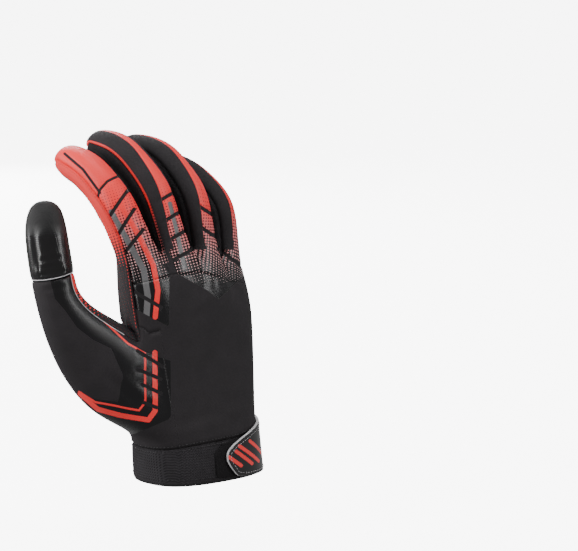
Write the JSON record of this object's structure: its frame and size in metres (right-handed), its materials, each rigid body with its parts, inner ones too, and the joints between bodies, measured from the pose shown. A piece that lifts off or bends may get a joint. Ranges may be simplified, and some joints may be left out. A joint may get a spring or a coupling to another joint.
{
  "type": "football receiver glove",
  "caption": "Right-hand receiver glove in a relaxed curl: tacky palm, printed stretch back, side strips between fingers, wrist cuff and pull tab closure.",
  "frame": {"origin": "middle of the wrist opening, at the cuff's lower edge", "axes": "+Z from the wrist towards the fingers, the back of the hand faces -Y, the thumb side is -X"},
  "size_m": [0.148, 0.0891, 0.2061],
  "materials": {
    "palm_silicone": "glossy, finely ribbed",
    "stretch_fabric": "matte knit",
    "print_film": "satin printed film in coral, grey and black",
    "coral_fabric": "matte knit",
    "cuff_fabric": "matte ribbed knit",
    "tab_rubber": "glossy moulded sheet",
    "hook_loop": "short pile"
  },
  "bodies": {
    "root": {"palm_panel": "palm_silicone", "hand_back": "stretch_fabric", "index_back": "print_film", "middle_back": "print_film", "ring_back": "print_film", "little_back": "print_film", "index_middle_fourchette": "stretch_fabric", "middle_ring_fourchette": "stretch_fabric", "ring_little_fourchette": "stretch_fabric", "radial_gusset": "coral_fabric", "ulnar_panel": "stretch_fabric", "slit_binding": "stretch_fabric", "thumb_back": "stretch_fabric", "thumb_front": "palm_silicone", "thumb_cap": "palm_silicone", "cuff_band": "cuff_fabric", "hook_patch": "hook_loop", "closure_tab": "tab_rubber"}
  },
  "joints": []
}
